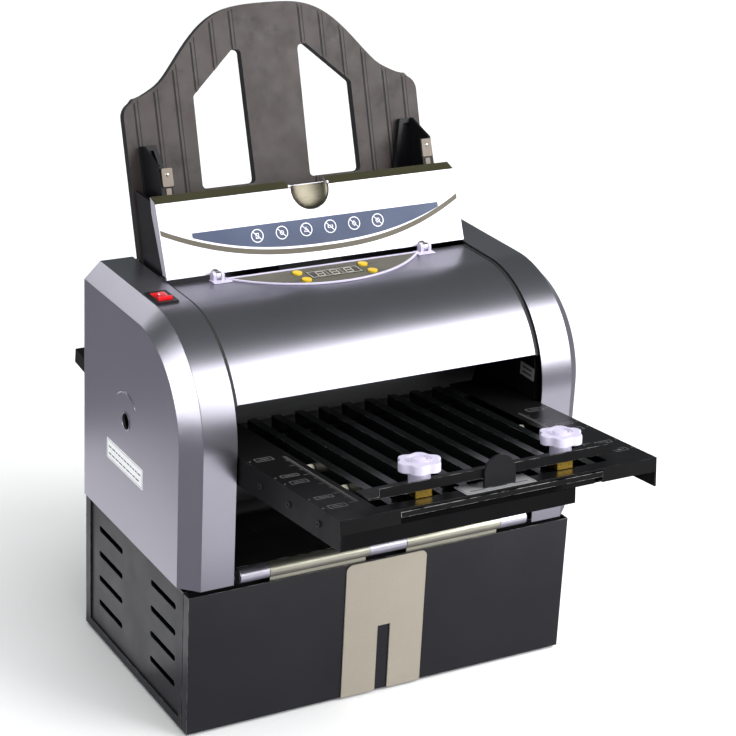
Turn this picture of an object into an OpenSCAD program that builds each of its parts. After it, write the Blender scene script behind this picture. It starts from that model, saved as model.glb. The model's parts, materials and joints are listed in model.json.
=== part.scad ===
// Desktop paper folding machine: a base with the drive, a folding head with four rollers
// and two fold plates, a top feed hopper and a hinged exit tray.
// Millimetres. +Z is up, the front faces -Y, +X is to the right seen from the front.
// The origin is the centre of the footprint, on the surface that the machine stands on.

/* [Base] */
// Width of the base box
base_w = 380; // [375:1:384]
// Depth of the base box, exit tray included
base_d = 222; // [220:1:226]
// Height of the base box above its feet
base_h = 132; // [130:1:134]
// Height of the rubber feet
foot_h = 3; // [2:0.5:3]
// Diameter of the rubber feet
foot_d = 22; // [16:1:28]
// Number of vent slots in each column
vent_rows = 4; // [2:1:4]

/* [Folding head] */
// Width over the two side covers
head_w = 390; // [388:1:394]
// Clear width between the side covers
throat_w = 298; // [297:0.5:299]
// Height of the side covers over the bench
head_top = 361; // [360:0.5:362]
// Radius of the rounded upper front
front_r = 99; // [97:0.5:101]
// Width of the chamfer along the outer edge of the side covers
chamfer = 15; // [8:1:18]
// How far the curved top cover sits below the side covers
cover_drop = 2.5; // [2:0.1:3]

/* [Rollers and drive] */
// Teeth on each roller gear
gear_teeth = 24; // [24:1:24]
// Module of the roller gears
gear_module = 1.6; // [1.6:0.1:1.6]
// Diameter of the roller shafts
shaft_d = 10; // [8:0.5:11]
// Width of the rubber on the folding rollers
roller_w = 288; // [270:1:292]
// Diameter of the feed roller
feed_d = 46; // [40:1:47]

/* [Feed hopper] */
// Lean of the feed tray from the vertical
tray_tilt = 18; // [17:0.5:19]
// Height of the feed tray over its pivot line
tray_rise = 159; // [150:0.5:162]
// Half width of the feed tray
tray_half = 147.3; // [146:0.1:147.5]
// Lean of the hinged hopper cover from the vertical
hopper_tilt = 23.7; // [22:0.1:24]
// Half distance between the paper guides
guide_half = 112; // [110:0.5:112]

/* [Front fold plate] */
// Width of the front fold plate
plate_w = 295; // [290:0.5:295]
// Upward slope of the front fold plate
plate_tilt = 6.35; // [6:0.05:6.6]
// Length in front of the head
plate_out = 169; // [160:1:175]
// Height of the side flanges
plate_flange = 25; // [22:0.5:25]
// Distance of the paper stop from the head
stop_at = 160; // [60:1:160]
// Diameter across the lobes of the clamp knobs
knob_d = 36.4; // [28:0.2:37]

/* [Rear fold plate] */
// Upward slope of the rear fold plate
rear_tilt = 6; // [5.5:0.1:6.2]
// Length of the rear fold plate
rear_len = 205; // [190:1:215]
// Height of its side flanges
rear_flange = 14; // [13:0.5:15]

/* [Exit tray] */
// Outer diameter of the hinge knuckles
knuckle_d = 13; // [11:0.5:13]
// Width of the sliding paper stop
strip_w = 80.4; // [70:0.2:90]
// Width of the slot in the paper stop
strip_slot = 12.5; // [8:0.5:16]

/* [Hidden] */
$fn = 48;
e = 0.01;

// Sheet thicknesses and running gaps
sheet = 1.5;
fit = 0.05;
gap = 0.3;

// Base
front_y = -base_d / 2;
rear_y = base_d / 2;
deck_z = foot_h + base_h;
tray_depth = 10;
foot_at = [[-160, -80], [160, -80], [-160, 85], [160, 85], [0, 0]];
box_front = front_y + tray_depth + 1;

// Head
head_half = head_w / 2;
throat_half = throat_w / 2;
cover_z = deck_z + 4;
head_front = front_y - 1.5;
head_rear = rear_y - 7.8;
arc_y = head_front + front_r;
arc_z = head_top - front_r;
frame_half = throat_half + 2;
frame_t = 3;
cover_r = front_r - cover_drop;
cover_top = head_top - cover_drop;

// Rollers: four in one vertical stack, numbered from the top, and the feed roller
pitch_d = gear_teeth * gear_module;
roller_d = pitch_d - 0.6;
stack_y = 10.3;
stack_top = 248;
function roller_z(i) = stack_top - (i - 1) * pitch_d;
feed_y = 62;
feed_z = 334;
bearing_d = shaft_d + 6;
gear_x = frame_half + frame_t + 4;
gear_t = 8;
belt_x = gear_x + gear_t + 3;
belt_w = 8;
motor_y = 62;
motor_z = 72;
drive_r = 28;
motor_r = 12;
feed_belt_x = -frame_half - frame_t - 4 - belt_w;
takeoff_r = 12;
feed_pulley_r = 16;

// Fold plates
window_w = 216;
plate_in = 92;
rib_h = 12;
rib_w = 8;
rib_count = 9;
rib_step = (window_w + 2 * rib_w) / (rib_count + 1);
paper_gap = 3;
plate_y = head_front - 3.5;
plate_z = 257.3;
rear_y0 = 36;
rear_z0 = roller_z(2) - pitch_d / 2 + (rear_y0 - stack_y) * tan(rear_tilt) + 8;
knob_x = 66;
bar_h = 8;
rear_stop = 150;

// Exit tray hinge
hinge_y = front_y + 4;
hinge_z = deck_z + 9;
knuckle_r = knuckle_d / 2;
knuckle_ends = [143, 115.5, 18.5];

// Hopper
tray_y = 107;
tray_z = 414;
tray_t = 3.5;
tray_rim = 8.5;
guide_w = 24;
cover_y0 = 31.2;
cover_z0 = 362.6;
cover_len = 65.5;
pivot_y = 26;
pivot_z = 363.2;
ear_x = 103.5;

// Control panel
panel_half = 93;
panel_rear = 23;
panel_front = -17;
panel_sag = panel_rear - panel_front;
panel_r = (panel_half * panel_half + panel_sag * panel_sag) / (2 * panel_sag);
button_r = 4.4;
button_x = 32.6;
button_y = [13.2, -4.9];

// Power switch
switch_x = -169;
switch_y = -2.5;
switch_w = 20;
switch_l = 27;
pivot_r = 1;

// ---------- Helpers ----------

function unit(v) = v / norm(v);

// A closed outline with every corner rounded to radius r by n straight steps
function rounded(pts, r, n = 6) = [
  for (i = [0 : len(pts) - 1])
    let (
      p = pts[i],
      a = pts[(i + len(pts) - 1) % len(pts)],
      b = pts[(i + 1) % len(pts)],
      u = unit(a - p),
      v = unit(b - p),
      half = acos(u * v) / 2,
      c = p + unit(u + v) * r / sin(half),
      s = p + u * r / tan(half),
      t = p + v * r / tan(half),
      a0 = atan2(s.y - c.y, s.x - c.x),
      a1 = atan2(t.y - c.y, t.x - c.x),
      sweep = (a1 - a0 + 540) % 360 - 180
    )
    for (k = [0 : n]) c + r * [cos(a0 + sweep * k / n), sin(a0 + sweep * k / n)]
];

// Points along an arc from angle a0 to a1
function arc(c, r, a0, a1, n) = [
  for (k = [0 : n]) c + r * [cos(a0 + (a1 - a0) * k / n), sin(a0 + (a1 - a0) * k / n)]
];

// A box given by its two corners
module span(low, high) {
  translate(low) cube(high - low);
}

// A cylinder along X from x0 to x1
module rod_x(x0, x1, r, y, z) {
  translate([x0, y, z]) rotate([0, 90, 0]) cylinder(h = x1 - x0, r = r);
}

// A profile in (y, z) drawn out along X
module draw_x(x0, x1) {
  translate([x0, 0, 0]) rotate([90, 0, 90]) linear_extrude(x1 - x0) children();
}

module both_sides() {
  children();
  mirror([1, 0, 0]) children();
}

// Places children in the frame of the front fold plate: -Y runs out along it, Z = 0 is its top
module on_plate_1() {
  translate([0, plate_y, plate_z]) rotate([-plate_tilt, 0, 0]) children();
}

// The rear fold plate: +Y runs out along it, Z = 0 is its top
module on_plate_2() {
  translate([0, rear_y0, rear_z0]) rotate([rear_tilt, 0, 0]) children();
}

// The feed tray: Z runs up along it, Y = 0 is its front face
module on_tray() {
  translate([0, tray_y, tray_z]) rotate([-tray_tilt, 0, 0]) children();
}

// The hopper cover: Z runs up along it, Y = 0 is its front face
module on_hopper_cover() {
  translate([0, cover_y0, cover_z0]) rotate([-hopper_tilt, 0, 0]) children();
}

// ---------- Base ----------

module base_pan() {
  color("#26282b") difference() {
    union() {
      span([-base_w / 2, box_front, foot_h], [base_w / 2, rear_y, foot_h + sheet]);
      span([-base_w / 2, rear_y - sheet, foot_h], [base_w / 2, rear_y, deck_z - sheet - gap]);
      span([-base_w / 2, box_front, foot_h], [base_w / 2, box_front + sheet, deck_z - sheet - gap]);
      both_sides() {
        span([base_w / 2 - sheet, box_front, foot_h], [base_w / 2, rear_y, foot_h + 8]);
        span([base_w / 2 - sheet, rear_y - 10, foot_h], [base_w / 2, rear_y, deck_z - sheet - gap]);
        span([base_w / 2 - sheet, box_front, foot_h], [base_w / 2, box_front + 6, deck_z - sheet - gap]);
      }
    }
    span([-150, rear_y - 3, 30], [-120, rear_y + 1, 52]);
    for (p = foot_at) translate([p.x, p.y, foot_h - 1]) cylinder(h = 4, r = 3.1);
  }
}

module vent_slot(y0, y1, z) {
  r = 3;
  union() {
    span([-3, y0 + r, z - r], [3, y1 - r, z + r]);
    rod_x(-3, 3, r, y0 + r, z);
    rod_x(-3, 3, r, y1 - r, z);
  }
}

module side_panels() {
  x = base_w / 2 - sheet - 1.5;
  step = 25;
  color("#202124") both_sides() difference() {
    span([x, box_front + 2, foot_h + sheet + gap], [x + 1.2, rear_y - 2, deck_z - sheet - 2 * gap]);
    for (i = [0 : vent_rows - 1]) {
      translate([x, 0, 0]) vent_slot(-82, -30, 36.5 + step * i);
      translate([x, 0, 0]) vent_slot(31, 84, 36.5 + step * i);
    }
  }
}

// The deck closes the base, and its raised front sheet carries the folded paper out
module base_deck() {
  color("#1b1c1e") difference() {
    union() {
      span([-base_w / 2, box_front, deck_z - sheet], [base_w / 2, rear_y, deck_z]);
      draw_x(-throat_half + 1, throat_half - 1) polygon([
        [front_y + 13, deck_z], [front_y + 13, hinge_z + 3], [-14, hinge_z + 6], [-14, hinge_z + 4.5],
        [front_y + 14.5, hinge_z + 1.5], [front_y + 14.5, deck_z]
      ]);
    }
    span(
      [-frame_half - frame_t - 3, stack_y - 24, deck_z - 5],
      [belt_x + belt_w + 5, stack_y + 24, deck_z + 1]
    );
    span([belt_x - 3, stack_y - 40, deck_z - 5], [belt_x + belt_w + 5, motor_y + 28, deck_z + 1]);
  }
}

module rubber_feet() {
  color("#151515") for (p = foot_at) translate([p.x, p.y, 0]) {
    cylinder(h = foot_h, d = foot_d);
    cylinder(h = foot_h + sheet + 3, r = 3);
  }
}

module power_inlet() {
  color("#101010") difference() {
    union() {
      span([-149.7, rear_y - 24, 30.3], [-120.3, rear_y, 51.7]);
      span([-155, rear_y, 26], [-115, rear_y + 2, 56]);
    }
    span([-146, rear_y - 18, 34], [-124, rear_y + 3, 48]);
    for (x = [-152.5, -117.5]) translate([x, rear_y - 3, 41]) rotate([-90, 0, 0]) cylinder(h = 6, r = 1.2);
  }
  color("silver") for (x = [-140, -135, -130]) span([x - 1, rear_y - 19, 38], [x + 1, rear_y - 6, 44]);
}

module power_supply() {
  color("#1f6b3a") span([-150, -60, 14], [-30, 60, 15.6]);
  color("#c0c0c0") span([-140, -40, 15.6], [-95, 15, 52]);
  color("#222222") for (y = [-45, -15, 15, 45]) translate([-50, y, 15.6]) cylinder(h = 25, r = 9);
  color("#dddddd") for (x = [-145, -35], y = [-55, 55])
    translate([x, y, foot_h + sheet]) cylinder(h = 9.5, r = 3);
}

// ---------- Drive ----------

module drive_motor() {
  color("#8b8f94") {
    rod_x(20, 118, 34, motor_y, motor_z);
    rod_x(118, 128, 12, motor_y, motor_z);
  }
  color("#6f7378") difference() {
    union() {
      span([128, motor_y - 40, foot_h + sheet], [131, motor_y + 40, motor_z + 40]);
      span([90, motor_y - 40, foot_h + sheet], [131, motor_y + 40, foot_h + sheet + 3]);
    }
    rod_x(120, 140, 4 + fit, motor_y, motor_z);
  }
}

module motor_pulley() {
  color("#c9ccd0") rod_x(128.5, belt_x + belt_w + 2, 4, motor_y, motor_z);
  color("#b9bcc0") {
    rod_x(belt_x, belt_x + belt_w, motor_r, motor_y, motor_z);
    rod_x(belt_x - 1.5, belt_x, motor_r + 3, motor_y, motor_z);
  }
}

// The closed outline round two pulleys: an arc on each, joined along the tangents
function belt_outline(c1, r1, c2, r2, grow) =
  let (
    along = atan2(c2.y - c1.y, c2.x - c1.x),
    lift = acos((r1 - r2) / norm(c2 - c1))
  )
  concat(
    arc(c1, r1 + grow, along + lift, along + 360 - lift, 24),
    arc(c2, r2 + grow, along - lift, along + lift, 24)
  );

module belt(x, c1, r1, c2, r2) {
  draw_x(x + 0.5, x + belt_w - 0.5) difference() {
    polygon(belt_outline(c1, r1, c2, r2, 2.2));
    polygon(belt_outline(c1, r1, c2, r2, 0.6));
  }
}

module drive_belts() {
  color("#1a1a1a") {
    belt(belt_x, [stack_y, roller_z(3)], drive_r, [motor_y, motor_z], motor_r);
    belt(feed_belt_x, [stack_y, roller_z(1)], takeoff_r, [feed_y, feed_z], feed_pulley_r);
  }
}

// ---------- Frame ----------

rods = [[head_front + 19, 226.5], [-46, 221], [60, 186.2], [96, 190], [-60, 318], [88, 300]];
rod_r = 3;

module frame_profile() {
  difference() {
    polygon(concat(
      [[head_front + 14, deck_z + 0.5]],
      arc([arc_y, arc_z], front_r - 14, 180, 90, 18),
      [
        [head_rear - 2, head_top - 14], [head_rear - 2, deck_z + 0.5],
        [stack_y + 20, deck_z + 0.5], [stack_y + 20, deck_z - 26],
        [stack_y - 20, deck_z - 26], [stack_y - 20, deck_z + 0.5]
      ]
    ));
    for (i = [1 : 4]) translate([stack_y, roller_z(i)]) circle(d = bearing_d + 0.1);
    translate([feed_y, feed_z]) circle(d = bearing_d + 0.1);
    for (p = rods) translate(p) circle(r = rod_r + 0.03);
  }
}

module span_2d(low, high) {
  translate(low) square(high - low);
}

module left_frame() {
  color("#17181a") draw_x(-frame_half - frame_t, -frame_half) frame_profile();
}

module right_frame() {
  color("#17181a") draw_x(frame_half, frame_half + frame_t) frame_profile();
}

module tie_rods() {
  color("#d8d9d4") for (p = rods) rod_x(-frame_half - frame_t, frame_half + frame_t, rod_r, p.x, p.y);
}

module roller_bearings() {
  centres = concat([for (i = [1 : 4]) [stack_y, roller_z(i)]], [[feed_y, feed_z]]);
  color("#b08d4f") both_sides() for (c = centres) difference() {
    union() {
      rod_x(frame_half - 1, frame_half + frame_t + 1, bearing_d / 2, c.x, c.y);
      rod_x(frame_half - 2, frame_half - 0.2, bearing_d / 2 + 2, c.x, c.y);
    }
    rod_x(frame_half - 4, frame_half + frame_t + 4, shaft_d / 2 + fit, c.x, c.y);
  }
}

module separator_pad() {
  color("#8a5a2b") span([-18, 33, 333], [18, 38, 353]);
  color("#9a9da1") difference() {
    span([-24, 29, 322], [24, 33, 353]);
    rod_x(-30, 30, 1.6, 31, 326);
  }
  color("#9a9da1") both_sides() span([24, 29, 322], [frame_half - 2.2, 32, 332]);
}

// Curved guide that leads the sheet round the first roller into the first nip
module feed_chute() {
  outer = roller_d / 2 + 6;
  color("#2b2d30") draw_x(-140, 140) difference() {
    union() {
      intersection() {
        translate([stack_y, roller_z(1)]) circle(r = outer, $fn = 72);
        span_2d([stack_y + 3, roller_z(1) - 16], [stack_y + 40, roller_z(1)]);
      }
      span_2d([stack_y + outer - sheet, roller_z(1) - e], [stack_y + outer, feed_z - 40]);
    }
    translate([stack_y, roller_z(1)]) circle(r = outer - sheet, $fn = 72);
  }
}

// ---------- Rollers and gears ----------

module roller_body(z, y = stack_y) {
  color("#3a3b3d") rod_x(-roller_w / 2, roller_w / 2, roller_d / 2, y, z);
}

module roller_shaft(x0, x1, y, z) {
  color("#cfd2d6") rod_x(x0, x1, shaft_d / 2, y, z);
}

module fold_roller_1() {
  roller_body(roller_z(1));
  roller_shaft(-head_half + 6, gear_x + gear_t + 2, stack_y, roller_z(1));
  color("#b9bcc0") rod_x(feed_belt_x, feed_belt_x + belt_w, takeoff_r, stack_y, roller_z(1));
}

module fold_roller_2() {
  roller_body(roller_z(2));
  roller_shaft(-frame_half - frame_t - 3, gear_x + gear_t + 2, stack_y, roller_z(2));
}

module fold_roller_3() {
  roller_body(roller_z(3));
  roller_shaft(-frame_half - frame_t - 3, belt_x + belt_w + 2, stack_y, roller_z(3));
  color("#b9bcc0") rod_x(belt_x, belt_x + belt_w, drive_r, stack_y, roller_z(3));
}

module fold_roller_4() {
  roller_body(roller_z(4));
  roller_shaft(-frame_half - frame_t - 3, gear_x + gear_t + 2, stack_y, roller_z(4));
}

module feed_roller() {
  color("#77797b") rod_x(-32, 32, feed_d / 2, feed_y, feed_z);
  roller_shaft(feed_belt_x - 2, frame_half + frame_t + 3, feed_y, feed_z);
  color("#b9bcc0") rod_x(feed_belt_x, feed_belt_x + belt_w, feed_pulley_r, feed_y, feed_z);
}

// Outline of a spur gear with straight-sided teeth, thinned for running clearance
function gear_points(teeth, m) = [
  for (i = [0 : teeth - 1])
    let (
      r = teeth * m / 2,
      root = r - 1.2 * m,
      tip = r + 0.9 * m,
      a = 360 * i / teeth,
      wide = 0.32 * 360 / teeth,
      narrow = 0.12 * 360 / teeth
    )
    for (p = [[root, a - wide], [tip, a - narrow], [tip, a + narrow], [root, a + wide]])
      p[0] * [cos(p[1]), sin(p[1])]
];

module roller_gear(i) {
  turn = i % 2 == 0 ? 180 / gear_teeth : 0;
  color(i % 2 == 0 ? "#e8e4d8" : "#6d7176") draw_x(gear_x, gear_x + gear_t) difference() {
    translate([stack_y, roller_z(i)]) rotate(turn) polygon(gear_points(gear_teeth, gear_module));
    translate([stack_y, roller_z(i)]) circle(d = shaft_d + 0.02);
  }
}

module roller_gear_1() { roller_gear(1); }

module roller_gear_2() { roller_gear(2); }

module roller_gear_3() { roller_gear(3); }

module roller_gear_4() { roller_gear(4); }

// ---------- Covers ----------

// The outer body of the right side cover, drawn in by the amount t
module cover_body(t) {
  c = chamfer - 0.6 * t;
  x0 = throat_half - (t > 0 ? 5 : 0);
  x1 = head_half - t;
  r = front_r - t;
  top = head_top - t;
  front = head_front + t;
  rear = head_rear - t;
  low = cover_z - (t > 0 ? 5 : 0);
  section = [[x0, 0], [x1, 0], [x1, r - c], [x1 - c, r], [x0, r]];
  union() {
    translate([0, arc_y, arc_z]) rotate(180, [1, 0, 1]) rotate_extrude(angle = 90, $fn = 96)
      polygon([for (p = section) [p.y, p.x]]);
    translate([0, rear, 0]) rotate([90, 0, 0]) linear_extrude(rear - arc_y)
      polygon([[x0, low], [x1, low], [x1, top - c], [x1 - c, top], [x0, top]]);
    translate([0, 0, low]) linear_extrude(arc_z - low)
      polygon([[x0, front], [x1 - c, front], [x1, front + c], [x1, arc_y], [x0, arc_y]]);
  }
}

module side_cover() {
  difference() {
    cover_body(0);
    cover_body(sheet);
  }
}

module left_side_cover() {
  color("#9a9aa2") difference() {
    mirror([1, 0, 0]) side_cover();
    rod_x(-head_half - 2, -head_half + 4, 7.5, stack_y, stack_top);
    span([switch_x - 8.2, switch_y - 10.6, head_top - 5], [switch_x + 8.2, switch_y + 10.6, head_top + 1]);
  }
}

module right_side_cover() {
  color("#9a9aa2") side_cover();
}

module top_cover() {
  lip_z = 299;
  half = throat_half - 1.4;
  color("#a6a6ac") difference() {
    union() {
      translate([0, arc_y, arc_z]) rotate(180, [1, 0, 1])
        rotate_extrude(angle = acos((lip_z - arc_z) / cover_r), $fn = 96)
          polygon([[cover_r - 2, -half], [cover_r, -half], [cover_r, half], [cover_r - 2, half]]);
      span([-half, arc_y, cover_top - 2], [half, cover_y0 - 2, cover_top]);
    }
    for (x = [-button_x, button_x], y = button_y)
      translate([x, y, cover_top - 3]) cylinder(h = 4, r = button_r + 0.5);
  }
}

module rear_covers() {
  half = throat_half - 1.4;
  color("#8f8f96") {
    draw_x(-half, half) polygon([
      [head_rear - sheet, 232], [head_rear, 232], [head_rear, cover_top], [94, cover_top],
      [94, cover_top - sheet], [head_rear - sheet, cover_top - sheet]
    ]);
    span([-half, head_rear - sheet, deck_z + 0.5], [half, head_rear, 184]);
  }
}

// ---------- Feed hopper ----------

module hopper_cheeks() {
  color("#121314") both_sides() draw_x(143, 146) polygon([
    [44, 360], [86.5, 360], [106, 420], [68, 420], [63, 412]
  ]);
}

// Height of the tray edge at x: a bell that runs out smoothly into a sloping shoulder
function tray_edge(x) =
  let (
    bell = 84 + (tray_rise - 84) * (1 + cos(180 * min(1, pow(abs(x) / 130, 1.7)))) / 2,
    slope = 75.5 + 0.49 * (149 - abs(x))
  )
  (bell + slope + sqrt((bell - slope) * (bell - slope) + 9)) / 2;

// Outline of the tray down to the height low, drawn in by the amount t
function tray_outline(low, t = 0) =
  let (
    corner = 14,
    side = [for (k = [0 : 5]) let (a = 64 * k / 5)
      [tray_half - corner + (corner - t) * cos(a), 68.6 + (corner - t) * sin(a)]],
    top = [for (i = [-34 : 34]) [4 * i, tray_edge(4 * i) - t * 1.15]]
  )
  concat(
    [[-tray_half + t, low]],
    [for (p = side) [-p.x, p.y]],
    top,
    [for (k = [5 : -1 : 0]) side[k]],
    [[tray_half - t, low]]
  );

module tray_window(grow = 0) {
  inner = 27.5 - grow;
  outer = 80 + grow;
  polygon(rounded([
    [inner, -grow], [outer, -grow], [outer - 0.7, 82.2 + grow / 2],
    [37, 120 + grow * 1.2], [inner + 1, 119 + grow]
  ], 4 + grow));
}

// Extrudes a shape drawn on the tray's face from y0 back to y1
module through_tray(y0, y1) {
  translate([0, y1, 0]) rotate([90, 0, 0]) linear_extrude(y1 - y0) children();
}

module feed_tray() {
  rib_first = 34.8;
  rib_pitch = 20;
  color("#4a4341") on_tray() difference() {
    union() {
      through_tray(0, tray_t) polygon(tray_outline(-72));
      through_tray(tray_t - e, tray_rim) difference() {
        polygon(tray_outline(-54));
        polygon(concat([[-tray_half + 2.5, -60]], tray_outline(-54, 2.5), [[tray_half - 2.5, -60]]));
      }
      both_sides() through_tray(tray_t - e, tray_rim) tray_window(2.5);
      both_sides() for (i = [0 : 5]) {
        x = rib_first + rib_pitch * i;
        span([x - 1.2, -0.7, -60], [x + 1.2, e, tray_edge(x + 1.2) - 4]);
      }
    }
    both_sides() through_tray(-1, tray_rim + 1) tray_window();
    span([-122, -2, -18], [-66, tray_t + 1, -10]);
    span([66, -2, -44], [122, tray_t + 1, -36]);
    translate([0, -2, -27]) rotate([-90, 0, 0]) cylinder(h = tray_t + 4, r = 3 + fit);
  }
}

// Rack teeth with a gap centred on x = 0, pointing down
module rack_teeth(count, m) {
  p = PI * m;
  for (i = [0 : count - 1]) translate([-(i + 0.5) * p, 0]) polygon([
    [-0.3 * p, 1.2 * m], [-0.12 * p, -0.9 * m], [0.12 * p, -0.9 * m], [0.3 * p, 1.2 * m]
  ]);
}

pinion_r = 10;
rack_y = tray_t + 1.5;
rack_t = 4;

// The left guide in the tray's frame: side wall, tapered back with a rim, and a front wall with a clip
module guide() {
  wall = -guide_half - guide_w;
  low = -45;
  top = 43;
  reach = -38;
  through_tray(-3.5, -1.5)
    polygon([[wall, low], [wall, top], [wall + 13, top], [-guide_half, 0], [-guide_half, low]]);
  through_tray(-6.5, -3.4) polygon([
    [wall + 1, top - 4.5], [wall + 1, top], [wall + 13, top], [-guide_half, 0],
    [-guide_half, low], [-guide_half - 4, low], [-guide_half - 4, 0], [wall + 10, top - 4.5]
  ]);
  translate([wall, 0, 0]) rotate([90, 0, 90]) linear_extrude(2)
    polygon(rounded([[-1.5, low], [reach, low], [reach, 0], [reach + 1.5, 24], [-8, top], [-1.5, top]], 1.2, 3));
  span([wall + 1, reach, low], [wall + 11, reach + 2, 7]);
  span([wall + 1, reach - 0.4, 6], [wall + 12, reach + 2.6, 23]);
}

module rack(z, side) {
  span([-guide_half - 8, -2, z - 2.5], [-guide_half - 1, rack_y + rack_t, z + 2.5]);
  span([-guide_half - 8, rack_y, z - 2.5], [6, rack_y + rack_t, z + 2.5]);
  translate([0, rack_y + rack_t, -27 + side * pinion_r]) rotate([90, 0, 0]) linear_extrude(rack_t)
    mirror([0, side > 0 ? 0 : 1, 0]) rack_teeth(15, 1);
}

module guide_left() {
  color("#141415") on_tray() {
    guide();
    rack(-27 + pinion_r + 3.4, 1);
  }
}

module guide_right() {
  color("#141415") on_tray() mirror([1, 0, 0]) {
    guide();
    rack(-27 - pinion_r - 3.4, -1);
  }
}

module guide_pinion() {
  color("#e8e4d8") on_tray() translate([0, 0, -27]) rotate([-90, 0, 0]) {
    translate([0, 0, rack_y]) linear_extrude(rack_t) rotate(90) polygon(gear_points(20, 1));
    translate([0, 0, -1]) cylinder(h = rack_y + 1 + e, r = 3);
    translate([0, 0, -2.5]) cylinder(h = 1.6, r = 5);
  }
}

module feed_cover() {
  half = 148.7;
  notch_r = 19;
  color("#dcdce0") {
    on_hopper_cover() difference() {
      union() {
        draw_x(-half, half) polygon([
          [0, 0], [0, cover_len], [8.6, cover_len + 7.5], [8.6, cover_len + 5.5], [2, cover_len - 1], [2, 0]
        ]);
        both_sides() draw_x(half - 2, half) polygon([
          [1, 2], [7, 5], [11, cover_len - 6], [8.6, cover_len + 6.5], [1, cover_len]
        ]);
      }
      translate([0, -1, cover_len - 2]) rotate([-90, 0, 0]) cylinder(h = 14, r = notch_r);
      span([-notch_r, -1, cover_len - 2], [notch_r, 14, cover_len + 12]);
    }
    on_hopper_cover() difference() {
      translate([0, 1.2, cover_len - 2]) rotate([-90, 0, 0]) cylinder(h = 6, r = notch_r + 1.5);
      translate([0, 0, cover_len - 2]) rotate([-90, 0, 0]) cylinder(h = 5.7, r = notch_r - 0.5);
      span([-30, -1, cover_len + 3], [30, 9, cover_len + 30]);
    }
    both_sides() difference() {
      union() {
        rod_x(ear_x - 2, ear_x + 2, 3.2, pivot_y, pivot_z);
        span([ear_x - 2, pivot_y, pivot_z - 0.2], [ear_x + 2, cover_y0 + 1.5, pivot_z + 3.4]);
      }
      rod_x(ear_x - 4, ear_x + 4, 2 + fit, pivot_y, pivot_z);
    }
  }
}

// ---------- Control panel ----------

module lens(grow) {
  intersection() {
    translate([0, panel_front + panel_r]) circle(r = panel_r + grow, $fn = 128);
    span_2d([-panel_half - 10, panel_front - 10], [panel_half + 10, panel_rear + grow]);
  }
}

module panel_bezel() {
  color("#e6e2ee") {
    translate([0, 0, cover_top + 0.1]) linear_extrude(1.6) difference() {
      lens(2);
      lens(0);
    }
    both_sides() {
      span([panel_half, pivot_y - 9, cover_top + 0.1], [ear_x + 7, pivot_y + 2, cover_top + 1]);
      for (x = [ear_x - 5.4, ear_x + 2.4]) {
        rod_x(x, x + 3, 3.6, pivot_y, pivot_z);
        span([x, pivot_y - 3.6, cover_top + 0.1], [x + 3, pivot_y + 3.6, pivot_z]);
      }
      rod_x(ear_x - 5, ear_x + 5, 2, pivot_y, pivot_z);
    }
  }
}

module panel_plate() {
  color("#b5b5ae") translate([0, 0, cover_top + 0.1]) linear_extrude(0.9) difference() {
    lens(-0.1);
    for (x = [-button_x, button_x], y = button_y) translate([x, y]) circle(r = button_r + 0.35);
    span_2d([-25.7, -3], [25.7, 13]);
  }
}

module display_window() {
  color("#2a1512") span([-25.5, -2.8, cover_top + 0.1], [25.5, 12.8, cover_top + 1.3]);
}

module panel_button(x, y) {
  color("#e8c21a") translate([x, y, cover_top - 2.5]) {
    cylinder(h = 5, r = button_r);
    translate([0, 0, -1]) cylinder(h = 1.2, r = button_r - 1);
  }
}

module panel_button_1() { panel_button(-button_x, button_y[0]); }

module panel_button_2() { panel_button(-button_x, button_y[1]); }

module panel_button_3() { panel_button(button_x, button_y[0]); }

module panel_button_4() { panel_button(button_x, button_y[1]); }

module switch_bezel() {
  color("#111111") translate([switch_x, switch_y, 0]) difference() {
    union() {
      span([-switch_w / 2, -switch_l / 2, head_top], [switch_w / 2, switch_l / 2, head_top + 1.8]);
      span([-8, -10.5, head_top - 18], [8, 10.5, head_top + 1]);
    }
    span([-6.8, -9.6, head_top - 12], [6.8, 9.6, head_top + 3]);
    rod_x(-9, 9, pivot_r + fit, 0, head_top - 1);
  }
}

// The rocker's two faces meet in a shallow V, so one end stands proud
module power_rocker() {
  color("#d8121c") translate([switch_x, switch_y, head_top - 1]) rotate([-9, 0, 0]) {
    draw_x(-6.5, 6.5)
      polygon([[-8.8, 4.6], [0, 2.8], [8.8, 4.6], [8.3, -1.5], [2.5, -5], [-2.5, -5], [-8.3, -1.5]]);
    rod_x(-7.6, 7.6, pivot_r, 0, 0);
  }
}

// ---------- Front fold plate ----------

module plate_1_channel() {
  half = plate_w / 2;
  color("#1c1d1f") on_plate_1() difference() {
    union() {
      span([-half, -plate_out, -sheet], [half, plate_in, 0]);
      both_sides() span([half - sheet, -plate_out, -plate_flange], [half, plate_in, 0]);
      both_sides() span([94, -plate_out, -12], [half, -plate_out + sheet, 0]);
    }
    span([-window_w / 2, -plate_out + 14, -sheet - 1], [window_w / 2, plate_in + 1, 1]);
    for (y = [-35, -85, -135]) both_sides()
      translate([half - 3, y, -13]) rotate([0, 90, 0]) cylinder(h = 4, r = 1.6);
  }
}

module cross_rod(x0, x1, y) {
  rod_x(x0, x1, 2.2, y, -rib_h + 3.5);
}

// Long rails over the paper path: a rod ties them behind the stop's travel, and studs carry the outer ones
module plate_1_ribs() {
  half = window_w / 2;
  color("#242527") on_plate_1() {
    for (i = [1 : rib_count]) {
      x = -half - rib_w + i * rib_step;
      span([x - rib_w / 2, -plate_out + 14, -rib_h], [x + rib_w / 2, plate_in - 1, 0]);
    }
  }
  color("#c8c8c0") on_plate_1() {
    cross_rod(-half - 20, half + 20, 60);
    both_sides() for (y = [-88, -30]) cross_rod(half - rib_step + rib_w / 2, half + 20, y);
  }
}

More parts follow.
